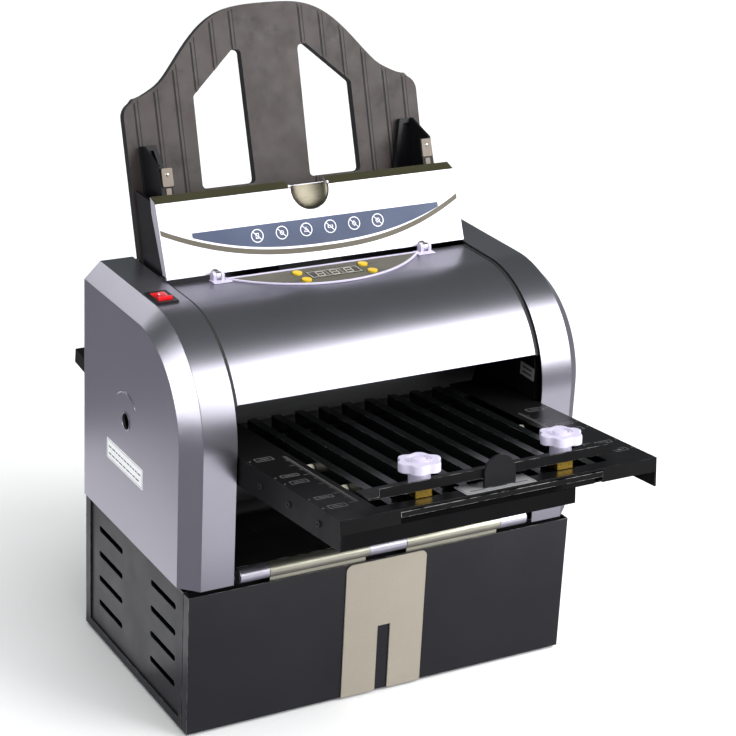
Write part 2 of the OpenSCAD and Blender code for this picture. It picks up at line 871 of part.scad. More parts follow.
module plate_1_bed() {
  half = plate_w / 2 - sheet - 0.2;
  low = -rib_h - paper_gap - sheet;
  color("#202123") on_plate_1() {
    span([-half, -plate_out + 12, low], [half, plate_in, low + sheet]);
    span([-94, -plate_out - 0.5, -7], [94, -plate_out + 1, -2.5]);
    span([-94, -plate_out + 1, -7], [94, -plate_out + 12.5, -5.5]);
    span([-94, -plate_out + 11, low], [94, -plate_out + 12.5, -5.5]);
  }
}

// The stop's fingers reach down between the rails
module stop_1_bar() {
  color("#161718") on_plate_1() difference() {
    union() {
      span([-117, -stop_at, bar_h], [117, -stop_at + 22, bar_h + 1.5]);
      span([-108, -stop_at, bar_h], [108, -stop_at + 1.5, bar_h + 8]);
      for (i = [1 : rib_count - 1]) {
        x = -window_w / 2 - rib_w + (i + 0.5) * rib_step;
        span([x - 4, -stop_at + 20, -rib_h - paper_gap + 0.6], [x + 4, -stop_at + 22, bar_h + 1]);
      }
    }
    for (x = [-knob_x, knob_x]) translate([x, -stop_at + 11, -1]) cylinder(h = 20, r = 3 + fit);
  }
}

module stop_1_tab() {
  color("#191a1b") on_plate_1()
    translate([0, -stop_at - 0.2, 0]) rotate([90, 0, 0]) linear_extrude(2.5) union() {
    intersection() {
      translate([0, 11.5]) circle(r = 14.5);
      span_2d([-15, 11.5], [15, 27]);
    }
    span_2d([-14.5, 0.6], [14.5, 11.5]);
  }
}

module stop_1_nuts() {
  color("#b8902e") on_plate_1() for (x = [-knob_x, knob_x]) difference() {
    span([x - 7.5, -stop_at + 4, gap], [x + 7.5, -stop_at + 18, bar_h]);
    translate([x, -stop_at + 11, -1]) cylinder(h = bar_h + 2, r = 3 + fit);
  }
}

// Outline of the six-lobed head: full lobes with narrow valleys between them
function lobe_points(r, depth) = [
  for (i = [0 : 71]) let (a = 5 * i) (r - depth * pow((1 - cos(6 * a)) / 2, 1.6)) * [cos(a), sin(a)]
];

// Clamp knob on a stem, with its stud; Z = 0 is the face it clamps on
module lobed_knob() {
  head_z = 12.4;
  union() {
    translate([0, 0, head_z]) linear_extrude(7.6) polygon(lobe_points(knob_d / 2, 3));
    translate([0, 0, 0.3]) cylinder(h = head_z - 0.2, r = 8.9);
    translate([0, 0, -8.5]) cylinder(h = 8.8, r = 3);
  }
}

module knob_1(x) {
  color("#e9e4f2") on_plate_1() translate([x, -stop_at + 11, bar_h + 1.5]) lobed_knob();
}

module knob_1_left() { knob_1(-knob_x); }

module knob_1_right() { knob_1(knob_x); }

// ---------- Rear fold plate ----------

module plate_2_channel() {
  half = plate_w / 2;
  color("#1c1d1f") on_plate_2() {
    difference() {
      union() {
        span([-half, 0, -sheet], [half, rear_len, 0]);
        both_sides() span([half - sheet, 0, -rear_flange], [half, rear_len, 0]);
      }
      span([-window_w / 2, -1, -sheet - 1], [window_w / 2, rear_len - 14, 1]);
    }
    for (i = [1 : rib_count]) {
      x = -window_w / 2 - rib_w + i * rib_step;
      span([x - rib_w / 2, 0, -7], [x + rib_w / 2, rear_len - 14 + e, 0]);
    }
    span([-half, 0, -10.5], [half, rear_len, -9]);
  }
}

module stop_2_bar() {
  color("#161718") on_plate_2() difference() {
    union() {
      span([-117, rear_stop - 22, bar_h], [117, rear_stop, bar_h + 1.5]);
      span([-108, rear_stop - 1.5, bar_h], [108, rear_stop, bar_h + 8]);
      for (i = [1 : rib_count - 1]) {
        x = -window_w / 2 - rib_w + (i + 0.5) * rib_step;
        span([x - 4, rear_stop - 22, -8.4], [x + 4, rear_stop - 20, bar_h + 1]);
      }
      for (x = [-knob_x, knob_x]) span([x - 7.5, rear_stop - 18, gap], [x + 7.5, rear_stop - 4, bar_h + e]);
    }
    for (x = [-knob_x, knob_x]) translate([x, rear_stop - 11, -1]) cylinder(h = 20, r = 3 + fit);
  }
}

module knob_2(x) {
  color("#e9e4f2") on_plate_2() translate([x, rear_stop - 11, bar_h + 1.5]) lobed_knob();
}

module knob_2_left() { knob_2(-knob_x); }

module knob_2_right() { knob_2(knob_x); }

// ---------- Exit tray ----------

module exit_tray() {
  half = base_w / 2;
  top = deck_z - 0.5;
  color("#2a2c30") difference() {
    union() {
      span([-half, front_y, foot_h], [half, front_y + sheet, top]);
      both_sides() span([half - sheet, front_y, foot_h], [half, front_y + tray_depth, top]);
      span([-half, front_y, foot_h], [half, front_y + tray_depth, foot_h + sheet]);
    }
    span([-3.1, front_y - 1, 70], [3.1, front_y + sheet + 1, 130.5]);
  }
}

// Knuckles that turn with the exit tray, each with a leaf down the back of the tray
module tray_knuckles() {
  color("#b7b5a4") both_sides() difference() {
    union() {
      rod_x(knuckle_ends[2] + gap, knuckle_ends[1] - gap, knuckle_r, hinge_y, hinge_z);
      span(
        [knuckle_ends[2] + 2, front_y + sheet, deck_z - 30],
        [knuckle_ends[1] - 2, front_y + sheet + 1.5, hinge_z]
      );
    }
    rod_x(0, 200, 3 + fit, hinge_y, hinge_z);
  }
}

// Knuckles fixed to the deck
module fixed_knuckles() {
  leaf = 8.5;
  color("#dedce6") difference() {
    union() {
      rod_x(-knuckle_ends[2], knuckle_ends[2], knuckle_r, hinge_y, hinge_z);
      span([-knuckle_ends[2], hinge_y, hinge_z - 2], [knuckle_ends[2], front_y + 13 - 0.1, hinge_z]);
      both_sides() {
        rod_x(knuckle_ends[1], knuckle_ends[0], knuckle_r, hinge_y, hinge_z);
        span([knuckle_ends[1], hinge_y, hinge_z - 2], [knuckle_ends[0], front_y + 13 - 0.1, hinge_z]);
      }
      span([-knuckle_ends[2], front_y + 11.2, deck_z + e], [knuckle_ends[2], front_y + 12.9, hinge_z]);
      both_sides() span(
        [knuckle_ends[1], front_y + 11.2, deck_z + e],
        [knuckle_ends[0], front_y + 12.9, hinge_z]
      );
    }
    rod_x(-200, 200, 3 + fit, hinge_y, hinge_z);
  }
}

module hinge_pin() {
  color("#c4c6c8") rod_x(-knuckle_ends[0], knuckle_ends[0], 3, hinge_y, hinge_z);
}

// Slotted strip on the front of the exit tray, guided by two rivets in the tray's own slot
module paper_stop() {
  y0 = front_y - gap - 1.2;
  r = 6;
  color("#b9b2a6") difference() {
    translate([0, y0 + 1.2, 0]) rotate([90, 0, 0]) linear_extrude(1.2) difference() {
      union() {
        span_2d([-strip_w / 2, foot_h], [strip_w / 2, deck_z - 1.1 - r]);
        span_2d([-strip_w / 2 + r, foot_h], [strip_w / 2 - r, deck_z - 1.1]);
        for (x = [-1, 1]) translate([x * (strip_w / 2 - r), deck_z - 1.1 - r]) circle(r = r);
      }
      span_2d([-strip_slot / 2, foot_h - 1], [strip_slot / 2, foot_h + 65]);
    }
  }
  color("#b9b2a6") for (z = [126, 114]) {
    translate([0, y0 + 0.6, z]) rotate([-90, 0, 0]) cylinder(h = 3.2, r = 3);
    translate([0, front_y + sheet + gap, z]) rotate([-90, 0, 0]) cylinder(h = 1.2, r = 5);
  }
}

// ---------- Assembly ----------

base_pan();
side_panels();
base_deck();
rubber_feet();
power_inlet();
power_supply();
drive_motor();
motor_pulley();
drive_belts();
left_frame();
right_frame();
tie_rods();
roller_bearings();
separator_pad();
feed_chute();
fold_roller_1();
fold_roller_2();
fold_roller_3();
fold_roller_4();
roller_gear_1();
roller_gear_2();
roller_gear_3();
roller_gear_4();
feed_roller();
left_side_cover();
right_side_cover();
top_cover();
rear_covers();
hopper_cheeks();
feed_tray();
guide_left();
guide_right();
guide_pinion();
feed_cover();
panel_bezel();
panel_plate();
display_window();
panel_button_1();
panel_button_2();
panel_button_3();
panel_button_4();
switch_bezel();
power_rocker();
plate_1_channel();
plate_1_ribs();
plate_1_bed();
stop_1_bar();
stop_1_tab();
stop_1_nuts();
knob_1_left();
knob_1_right();
plate_2_channel();
stop_2_bar();
knob_2_left();
knob_2_right();
exit_tray();
tray_knuckles();
fixed_knuckles();
hinge_pin();
paper_stop();
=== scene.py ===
"""Looks of a desktop paper folding machine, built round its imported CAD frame. Lengths are metres."""

import json
import math
import random

import bmesh
import bpy
from mathutils import Matrix, Vector
from mathutils.bvhtree import BVHTree


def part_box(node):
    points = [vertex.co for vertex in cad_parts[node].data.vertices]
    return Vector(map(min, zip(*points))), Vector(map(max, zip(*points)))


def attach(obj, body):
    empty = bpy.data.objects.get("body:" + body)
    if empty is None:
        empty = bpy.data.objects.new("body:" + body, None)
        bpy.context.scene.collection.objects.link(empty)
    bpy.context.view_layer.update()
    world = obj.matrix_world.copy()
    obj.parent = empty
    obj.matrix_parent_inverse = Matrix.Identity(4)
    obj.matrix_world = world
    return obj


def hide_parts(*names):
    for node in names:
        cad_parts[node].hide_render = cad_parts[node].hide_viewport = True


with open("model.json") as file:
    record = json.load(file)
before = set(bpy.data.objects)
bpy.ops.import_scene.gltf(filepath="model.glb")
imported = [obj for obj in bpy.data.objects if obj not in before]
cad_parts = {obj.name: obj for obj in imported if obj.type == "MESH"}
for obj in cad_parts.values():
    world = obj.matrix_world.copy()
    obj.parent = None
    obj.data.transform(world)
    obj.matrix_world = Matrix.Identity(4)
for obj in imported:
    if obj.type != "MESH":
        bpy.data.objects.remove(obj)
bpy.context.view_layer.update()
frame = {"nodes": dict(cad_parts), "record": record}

NODES = frame["nodes"]
GROUPS = frame["record"]["behaviour"]["bodies"]
BODY_OF = {node: body for body, members in GROUPS.items() for node in members}
SLOT_OF = {s["node"]: s["material_slot"] for s in frame["record"]["subparts"]}
MM = 0.001
UP = Vector((0, 0, 1))


# ---------- Colours and materials ----------

def srgb(r, g, b):
    """A linear RGBA colour from 0-255 screen values."""
    def linear(v):
        v /= 255
        return v / 12.92 if v <= 0.04045 else ((v + 0.055) / 1.055) ** 2.4
    return (linear(r), linear(g), linear(b), 1)


class Shader:
    """A Principled material with helpers that add procedural detail to it."""

    def __init__(self, name, rough, metallic=0.0, coat=0.0, specular=0.5):
        self.material = bpy.data.materials.new(name)
        self.material.use_nodes = True
        self.tree = self.material.node_tree
        self.bsdf = self.tree.nodes["Principled BSDF"]
        self.bsdf.inputs["Roughness"].default_value = rough
        self.bsdf.inputs["Metallic"].default_value = metallic
        self.bsdf.inputs["Coat Weight"].default_value = coat
        self.bsdf.inputs["Specular IOR Level"].default_value = specular
        self.place = self.node("ShaderNodeTexCoord").outputs["Object"]

    def node(self, kind, **settings):
        """A new shader node; each setting names an input or a property."""
        made = self.tree.nodes.new(kind)
        for key, value in settings.items():
            if key in made.inputs:
                made.inputs[key].default_value = value
            else:
                setattr(made, key, value)
        return made

    def link(self, out, into):
        self.tree.links.new(out, into)

    def scaled(self, stretch):
        """Object coordinates multiplied by a vector."""
        made = self.node("ShaderNodeMapping")
        made.inputs["Scale"].default_value = stretch
        self.link(self.place, made.inputs["Vector"])
        return made.outputs["Vector"]

    def noise(self, scale, detail=3.0, stretch=(1, 1, 1), rough=0.55):
        """Noise in object space, which mostly lies between 0.3 and 0.7."""
        made = self.node("ShaderNodeTexNoise", Scale=scale, Detail=detail, Roughness=rough)
        self.link(self.scaled(stretch), made.inputs["Vector"])
        return made.outputs["Fac"]

    def ramp(self, value, low, high, c0=(0, 0, 0, 1), c1=(1, 1, 1, 1)):
        """Colour c0 up to low, c1 from high on, and a blend between them."""
        made = self.node("ShaderNodeValToRGB")
        made.color_ramp.elements[0].position = low
        made.color_ramp.elements[1].position = high
        made.color_ramp.elements[0].color = c0
        made.color_ramp.elements[1].color = c1
        self.link(value, made.inputs["Fac"])
        return made.outputs["Color"]

    def mix(self, amount, a, b):
        """Colour a where amount is 0, b where it is 1."""
        made = self.node("ShaderNodeMix", data_type="RGBA")
        self.link(amount, made.inputs[0])
        for colour, socket in ((a, made.inputs[6]), (b, made.inputs[7])):
            if isinstance(colour, tuple):
                socket.default_value = colour
            else:
                self.link(colour, socket)
        return made.outputs[2]

    def spread(self, value, low, high):
        """A noise value stretched to run from low to high."""
        made = self.node("ShaderNodeMapRange")
        made.inputs["From Min"].default_value = 0.3
        made.inputs["From Max"].default_value = 0.7
        made.inputs["To Min"].default_value = low
        made.inputs["To Max"].default_value = high
        self.link(value, made.inputs["Value"])
        return made.outputs["Result"]

    def edge(self):
        """1 on the faces of a rounded edge, 0 elsewhere."""
        return self.node("ShaderNodeAttribute", attribute_name="edge").outputs["Fac"]

    def bump(self, height, strength, distance):
        made = self.node("ShaderNodeBump", Strength=strength, Distance=distance)
        self.link(height, made.inputs["Height"])
        self.link(made.outputs["Normal"], self.bsdf.inputs["Normal"])

    def colour(self, value):
        self.link(value, self.bsdf.inputs["Base Color"])

    def roughness(self, value):
        self.link(value, self.bsdf.inputs["Roughness"])


def shade(colour, factor):
    """The colour made lighter or darker by a factor."""
    return tuple(min(1.0, c * factor) for c in colour[:3]) + (1,)


def painted(name, colour, rough, metallic=0.0, coat=0.0, grain=700, depth=0.00004, wear_and_highlight=None,
            specular=0.5, cloudy=0.12):
    """Paint or moulded plastic: cloudy tone, fine grain, uneven gloss, and light rubbed edges that are
    partly wear, partly painted edge highlight.
    """
    s = Shader(name, rough, metallic, coat, specular)
    cloud = s.noise(14, 4)
    tone = s.ramp(cloud, 0.3, 0.7, shade(colour, 1 - cloudy), shade(colour, 1 + cloudy))
    fine = s.noise(grain, 2)
    tone = s.mix(s.ramp(fine, 0.35, 0.75, (0, 0, 0, 1), (0.35, 0.35, 0.35, 1)), tone, shade(colour, 1.25))
    # Rounded edges lightened in patches: partly wear, partly painted highlight.
    if wear_and_highlight:
        rub_and_highlight = s.node("ShaderNodeMath", operation="MULTIPLY")
        s.link(s.edge(), rub_and_highlight.inputs[0])
        s.link(s.ramp(s.noise(90, 3), 0.42, 0.6), rub_and_highlight.inputs[1])
        tone = s.mix(rub_and_highlight.outputs["Value"], tone, wear_and_highlight)
    s.colour(tone)
    s.roughness(s.spread(s.noise(30, 4), rough - cloudy / 3, rough + cloudy / 2))
    s.bump(fine, 0.5, depth)
    return s.material


def metal(name, colour, rough, stretch=(1, 1, 1), grain=500, depth=0.00002):
    """Bare metal with brushing drawn out along one axis."""
    s = Shader(name, rough, 1.0)
    lines = s.noise(grain, 4, stretch)
    cloud = s.noise(25, 3)
    tone = s.ramp(lines, 0.3, 0.7, shade(colour, 0.82), shade(colour, 1.15))
    tone = s.mix(s.ramp(cloud, 0.4, 0.7, (0, 0, 0, 1), (0.4, 0.4, 0.4, 1)), tone, shade(colour, 0.75))
    s.colour(tone)
    s.roughness(s.spread(lines, rough - 0.06, rough + 0.1))
    s.bump(lines, 0.4, depth)
    return s.material


def stained(name, colour, stain):
    """Moulded plastic with smudges, speckles and a leathery grain."""
    s = Shader(name, 0.5, specular=0.35)
    tone = s.ramp(s.noise(16, 5), 0.35, 0.65, shade(colour, 0.86), shade(colour, 1.1))
    smudge = s.ramp(s.noise(45, 6, rough=0.7), 0.52, 0.72, (0, 0, 0, 1), (0.8, 0.8, 0.8, 1))
    tone = s.mix(smudge, tone, stain)
    s.colour(tone)
    s.roughness(s.spread(s.noise(60, 4), 0.42, 0.6))
    s.bump(s.noise(1500, 3), 0.5, 0.00006)
    return s.material


# Light edges: partly rubbed paint, partly painted edge highlight.
WEAR_AND_EDGE_HIGHLIGHT = srgb(150, 148, 146)
FINE_FLAKE = {"grain": 2200, "cloudy": 0.02, "depth": 0.000002}
BRUSHED_ALONG_X = (0.05, 1, 1)

# One finish for each material slot of the record.
MATERIAL = {
    "base_black": painted("base_paint", srgb(27, 27, 30), 0.42, wear_and_highlight=WEAR_AND_EDGE_HIGHLIGHT, specular=0.35),
    "tray_black": painted("tray_paint", srgb(31, 31, 35), 0.38, wear_and_highlight=WEAR_AND_EDGE_HIGHLIGHT, specular=0.35),
    "deck_black": painted("deck_paint", srgb(16, 16, 17), 0.22, wear_and_highlight=WEAR_AND_EDGE_HIGHLIGHT),
    "cover_silver": painted("cover_paint", srgb(153, 151, 161), 0.3, 0.94, **FINE_FLAKE),
    "hopper_silver": painted("hopper_paint", srgb(196, 194, 204), 0.36, 0.4, **FINE_FLAKE),
    "tray_brown": stained("tray_plastic", srgb(60, 53, 51), srgb(34, 30, 30)),
    "black_plastic": painted("black_plastic", srgb(18, 18, 21), 0.38, specular=0.22),
    "plate_black": painted("plate_paint", srgb(16, 16, 17), 0.36, wear_and_highlight=WEAR_AND_EDGE_HIGHLIGHT, specular=0.1),
    "rail_black": painted("rail_paint", srgb(14, 16, 16), 0.22, wear_and_highlight=WEAR_AND_EDGE_HIGHLIGHT, specular=0.4),
    "white_plastic": painted("white_plastic", srgb(196, 190, 212), 0.45, specular=0.35),
    "panel_grey": painted("panel_film", srgb(84, 82, 70), 0.42, specular=0.25),
    "display_dark": painted("display_glass", srgb(50, 47, 38), 0.3, specular=0.25),
    "button_yellow": painted("button_rubber", srgb(214, 178, 24), 0.35),
    "rocker_red": painted("rocker_plastic", srgb(214, 14, 24), 0.16, coat=0.6),
    "rubber": painted("rubber", srgb(34, 34, 34), 0.7),
    "roller_rubber": painted("roller_rubber", srgb(58, 58, 60), 0.6),
    "steel": metal("steel", srgb(190, 189, 184), 0.3),
    "zinc": metal("zinc_steel", srgb(186, 184, 168), 0.4, BRUSHED_ALONG_X, 900),
    "bright_steel": metal("bright_steel", srgb(205, 202, 214), 0.38, BRUSHED_ALONG_X, 900),
    "strip_steel": painted("strip_steel", srgb(172, 164, 150), 0.4, 0.35, grain=900, cloudy=0.05,
                           wear_and_highlight=WEAR_AND_EDGE_HIGHLIGHT),
    "brass": metal("brass", srgb(196, 160, 72), 0.3),
    "bronze": metal("bronze", srgb(150, 120, 80), 0.4),
    "gear_steel": metal("gear_steel", srgb(110, 110, 114), 0.35),
    "gear_nylon": painted("gear_nylon", srgb(222, 216, 196), 0.45),
    "board_green": painted("board_green", srgb(24, 92, 48), 0.4),
    "motor_grey": painted("motor_paint", srgb(120, 122, 126), 0.4),
    "pad_cork": painted("pad_cork", srgb(140, 96, 60), 0.8),
}

# Finishes of prints, labels and small trim, and of the painted shade and highlight pieces.
MATERIAL_EXTRA = {
    "band": painted("band_paint", srgb(84, 78, 64), 0.42, cloudy=0.08, specular=0.3),
    "label_blue": painted("label_blue", srgb(62, 72, 98), 0.45, cloudy=0.16, specular=0.3),
    "print_white": painted("print_white", srgb(225, 225, 232), 0.5),
    "print_grey": painted("print_grey", srgb(108, 108, 108), 0.5, cloudy=0.3),
    "print_dark": painted("print_dark", srgb(40, 40, 44), 0.5),
    "paper_white": painted("sticker_paper", srgb(246, 246, 250), 0.6, cloudy=0.03),
    "foil": painted("label_foil", srgb(160, 160, 162), 0.4, 0.3, cloudy=0.06),
    "digit": painted("display_digit", srgb(206, 203, 190), 0.5, specular=0.3),
    "satin": metal("satin_beige", srgb(112, 107, 94), 0.38, (0.2, 1, 1), 600),
    "clip_beige": painted("clip_plastic", srgb(118, 108, 98), 0.45, specular=0.3),
    "sleeve": painted("sleeve_zinc", srgb(205, 200, 185), 0.35, 0.3),
    # Near black, as painted shade under the fold plate's front edge.
    "shade_apron": painted("shade_apron_gloss", srgb(5, 5, 6), 0.3, specular=0.12),
    "lip_dark": painted("lip_paint", srgb(52, 50, 34), 0.4, specular=0.3),
    "rim_dark": painted("rim_plastic", srgb(26, 24, 26), 0.5, specular=0.3),
}


# ---------- Mesh helpers ----------

SMOOTH_BELOW = math.radians(35)


def new_object(name, bm, material, node, replaces=()):
    """Turns a bmesh into a piece that rides on its node's body and takes its finish from a slot."""
    bmesh.ops.recalc_face_normals(bm, faces=bm.faces)
    mesh = bpy.data.meshes.new(name)
    bm.to_mesh(mesh)
    bm.free()
    for m in material if isinstance(material, (list, tuple)) else [material]:
        mesh.materials.append(m)
    mesh.shade_smooth()
    mesh.set_sharp_from_angle(angle=SMOOTH_BELOW)
    piece = bpy.data.objects.new(name, mesh)
    bpy.context.scene.collection.objects.link(piece)
    weighted = piece.modifiers.new("even_normals", "WEIGHTED_NORMAL")
    weighted.keep_sharp = True
    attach(piece, BODY_OF[node])
    if replaces:
        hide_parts(*replaces)
    return piece


def round_edges(bm, width, segments, angle):
    """Rounds every edge sharper than angle, and marks the new faces for wear and painted edge highlight."""
    layer = bm.faces.layers.float.new("edge")
    sharp = [e for e in bm.edges if e.is_manifold and e.calc_face_angle(0) > math.radians(angle)]
    made = bmesh.ops.bevel(
        bm, geom=sharp, offset=width, segments=segments, profile=0.5, affect="EDGES", clamp_overlap=True)
    for face in made["faces"]:
        face[layer] = 1


# A rim with an opening in it is cut up before its edges are rounded, or the opening closes over.
CUT_FIRST = ("right_side_cover",)
CUT_ABOVE = 12


def detail(node, width, second=None, segments=2, angle=30):
    """A copy of a CAD node with rounded edges stands for it; some faces may take a second material."""
    bm = bmesh.new()
    bm.from_mesh(NODES[node].data)
    bmesh.ops.remove_doubles(bm, verts=bm.verts, dist=1e-6)
    bmesh.ops.dissolve_limit(bm, angle_limit=math.radians(0.5), verts=bm.verts, edges=bm.edges)
    materials = [MATERIAL[SLOT_OF[node]]]
    if second:
        material, chosen = second
        materials.append(material)
        for face in bm.faces:
            face.material_index = 1 if chosen(face) else 0
    if node in CUT_FIRST:
        bmesh.ops.triangulate(bm, faces=[f for f in bm.faces if len(f.verts) > CUT_ABOVE])
    round_edges(bm, width * MM, segments, angle)
    return new_object(node + "_look", bm, materials, node=node, replaces=[node])


class Face:
    """A drawing board on a node's largest flat face, in mm.

    x runs across the face, y up it from its low edge, and z out of it.
    """

    def __init__(self, node, toward):
        toward = Vector(toward)
        data = NODES[node].data
        # The direction that most of the area facing that way shares.
        looking = [f for f in data.polygons if f.normal.dot(toward) > 0.8]
        rough_out = self.heaviest(looking, lambda f: tuple(round(c, 3) for c in f.normal))
        rough_out = Vector(rough_out).normalized()
        flat = [f for f in looking if f.normal.dot(rough_out) > 0.99999]
        out = sum((f.normal * f.area for f in flat), Vector()).normalized()
        across = Vector((1, 0, 0)) if abs(out.z) > 0.9 else UP.cross(out).normalized()
        rise = out.cross(across)
        # The level along it that holds the most area.
        level = self.heaviest(flat, lambda f: round(data.vertices[f.vertices[0]].co.dot(out), 4))
        spots = [data.vertices[v].co for f in flat for v in f.vertices]
        spots = [c for c in spots if abs(c.dot(out) - level) < 0.0001]
        level = sum(c.dot(out) for c in spots) / len(spots)
        low = min(c.dot(rise) for c in spots)
        self.node = node
        self.height = (max(c.dot(rise) for c in spots) - low) / MM
        self.right = max(c.dot(across) for c in spots) / MM
        self.left = min(c.dot(across) for c in spots) / MM
        turn = Matrix((across, rise, out)).transposed().to_4x4()
        self.matrix = Matrix.Translation(rise * low + out * level) @ turn @ Matrix.Scale(MM, 4)

    @staticmethod
    def heaviest(faces, key):
        """The key that covers the largest area."""
        area = {}
        for f in faces:
            area[key(f)] = area.get(key(f), 0) + f.area
        return max(area, key=area.get)

    def add(self, name, bm, material, soft=0.0, node=None):
        """Puts a mesh drawn on this board in the scene; soft rounds its edges by that many mm."""
        if soft:
            round_edges(bm, soft, 2, 30)
        bm.transform(self.matrix)
        return new_object(name, bm, material, node or self.node)


def prism(bm, loops, low, high, place=Matrix()):
    """An outline, with any holes, made solid from level low to level high."""
    rings = []
    for level in (low, high):
        edges = []
        for loop in loops:
            corners = [bm.verts.new(place @ Vector((x, y, level))) for x, y in loop]
            edges += [bm.edges.new(pair) for pair in zip(corners, corners[1:] + corners[:1])]
            rings.append(corners)
        bmesh.ops.triangle_fill(bm, use_beauty=True, use_dissolve=False, edges=edges)
    for bottom, top in zip(rings[:len(loops)], rings[len(loops):]):
        count = len(bottom)
        for k in range(count):
            n = (k + 1) % count
            bm.faces.new((bottom[k], bottom[n], top[n], top[k]))


def lathe(bm, profile, segments=32, place=Matrix(), closed=False):
    """Turns a profile of (radius, height) round Z."""
    rings = []
    for radius, height in profile:
        steps = segments if radius > 0 else 1
        rings.append([bm.verts.new(place @ Vector((
            radius * math.cos(math.tau * k / steps), radius * math.sin(math.tau * k / steps), height)))
            for k in range(steps)])
    follow = rings[1:] + rings[:1] if closed else rings[1:]
    for low, high in zip(rings, follow):
        for k in range(segments):
            n = k + 1
            corners = (low[k % len(low)], low[n % len(low)], high[n % len(high)], high[k % len(high)])
            bm.faces.new(list(dict.fromkeys(corners)))


def ridge(bm, path, section, base=0.0):
    """Sweeps a section of (sideways, up) points along a flat path and closes both ends."""
    rings = []
    for k, point in enumerate(path):
        before = Vector(path[max(0, k - 1)])
        after = Vector(path[min(len(path) - 1, k + 1)])
        along = (after - before).normalized()
        side = Vector((-along.y, along.x))
        rings.append([bm.verts.new((point[0] + side.x * u, point[1] + side.y * u, base + z))
                      for u, z in section])
    count = len(section)
    for a, b in zip(rings, rings[1:]):
        for k in range(count):
            n = (k + 1) % count
            bm.faces.new((a[k], a[n], b[n], b[k]))
    bm.faces.new(rings[0])
    bm.faces.new(rings[-1])


def circle(x, y, radius, count=32):
    """The corners of a regular outline round x, y."""
    return [(x + radius * math.cos(math.tau * k / count), y + radius * math.sin(math.tau * k / count))
            for k in range(count)]


def box2d(x0, y0, x1, y1):
    """The corners of a rectangle."""
    return [(x0, y0), (x1, y0), (x1, y1), (x0, y1)]


def soft_box(x0, y0, x1, y1, radius, steps=5):
    """A rectangle with round corners."""
    points = []
    corners = ((x1 - radius, y1 - radius, 0), (x0 + radius, y1 - radius, 90),
               (x0 + radius, y0 + radius, 180), (x1 - radius, y0 + radius, 270))
    for x, y, start in corners:
        for k in range(steps + 1):
            a = math.radians(start + 90 * k / steps)
            points.append((x + radius * math.cos(a), y + radius * math.sin(a)))
    return points


def turned(points, angle, x, y):
    """Points turned about the origin by degrees, then moved to x, y."""
    c, s = math.cos(math.radians(angle)), math.sin(math.radians(angle))
    return [(x + px * c - py * s, y + px * s + py * c) for px, py in points]


def frame_line(bm, x0, y0, x1, y1, width, low, high):
    """A rectangle drawn as a line of the given width."""
    prism(bm, [box2d(x0, y0, x1, y1), box2d(x0 + width, y0 + width, x1 - width, y1 - width)], low, high)


# Levels in mm above a board: ink, ink on a stuck label, a stuck label, and the root of anything solid.
PRINT = (-0.05, 0.05)
LABEL = (-0.05, 0.25)
ON_LABEL = (0.2, 0.3)
SUNK = -0.3


def cross_screw(bm, x, y, radius=3.0, angle=20, z=0.0):
    """A pan head with a cross recess."""
    place = Matrix.Translation((x, y, z))
    arm = radius * 0.62
    wide = radius * 0.16
    cross = [(arm, -wide), (arm, wide), (wide, wide), (wide, arm), (-wide, arm), (-wide, wide),
             (-arm, wide), (-arm, -wide), (-wide, -wide), (-wide, -arm), (wide, -arm), (wide, -wide)]
    cross = turned(cross, angle, 0, 0)
    prism(bm, [circle(0, 0, radius * 0.86), cross], radius * 0.1, radius * 0.5, place)
    lathe(bm, [(0, SUNK), (radius, SUNK), (radius, radius * 0.2), (radius * 0.86, radius * 0.42),
               (radius * 0.86, 0.0), (0, 0.0)], 32, place)


def rivet(bm, x, y, radius=2.6, z=0.0):
    """A domed rivet head."""
    dome = [(radius * math.cos(math.radians(a)), 0.5 * radius * math.sin(math.radians(a)))
            for a in range(0, 90, 15)]
    lathe(bm, [(0, SUNK), (radius, SUNK)] + dome + [(0, radius * 0.5)], 24,
          Matrix.Translation((x, y, z)))


# ---------- The CAD nodes, with rounded edges ----------

EDGE_WIDTH = {
    "left_side_cover": 1.0,
    "right_side_cover": 1.0,
    "exit_tray": 0.8,
    "feed_cover": 0.7,
    "feed_tray": 0.8,
    "plate_1_channel": 0.55,
    "base_pan": 0.6,
    "knob_1_left": 0.7,
    "knob_1_right": 0.7,
    "knob_2_left": 0.7,
    "knob_2_right": 0.7,
}
TRAY_BOARD = Face("feed_tray", (0, -1, 0.3))
COVER_BOARD = Face("feed_cover", (0, -1, 0.4))


def across_board(board, limit):
    """Picks the faces that stand off a board's plane by more than a cosine limit."""
    out = (board.matrix.to_3x3() @ UP).normalized()
    return lambda face: abs(face.normal.dot(out)) < limit


def on_top_of(board, limit):
    """Picks the faces that look up along a board."""
    rise = (board.matrix.to_3x3() @ Vector((0, 1, 0))).normalized()
    return lambda face: face.normal.dot(rise) > limit


SECOND = {
    "feed_tray": (MATERIAL_EXTRA["rim_dark"], across_board(TRAY_BOARD, 0.7)),
    "feed_cover": (MATERIAL_EXTRA["lip_dark"], on_top_of(COVER_BOARD, 0.5)),
}
for node in NODES:
    detail(node, EDGE_WIDTH.get(node, 0.3), second=SECOND.get(node))


# ---------- Feed cover: printed band, label and warning rings ----------

def dip(x, middle, reach, low, rise):
    """Height of a printed curve that sags to low at the middle and climbs by rise at reach."""
    return low + rise * (abs(x - middle) / reach) ** 2.4


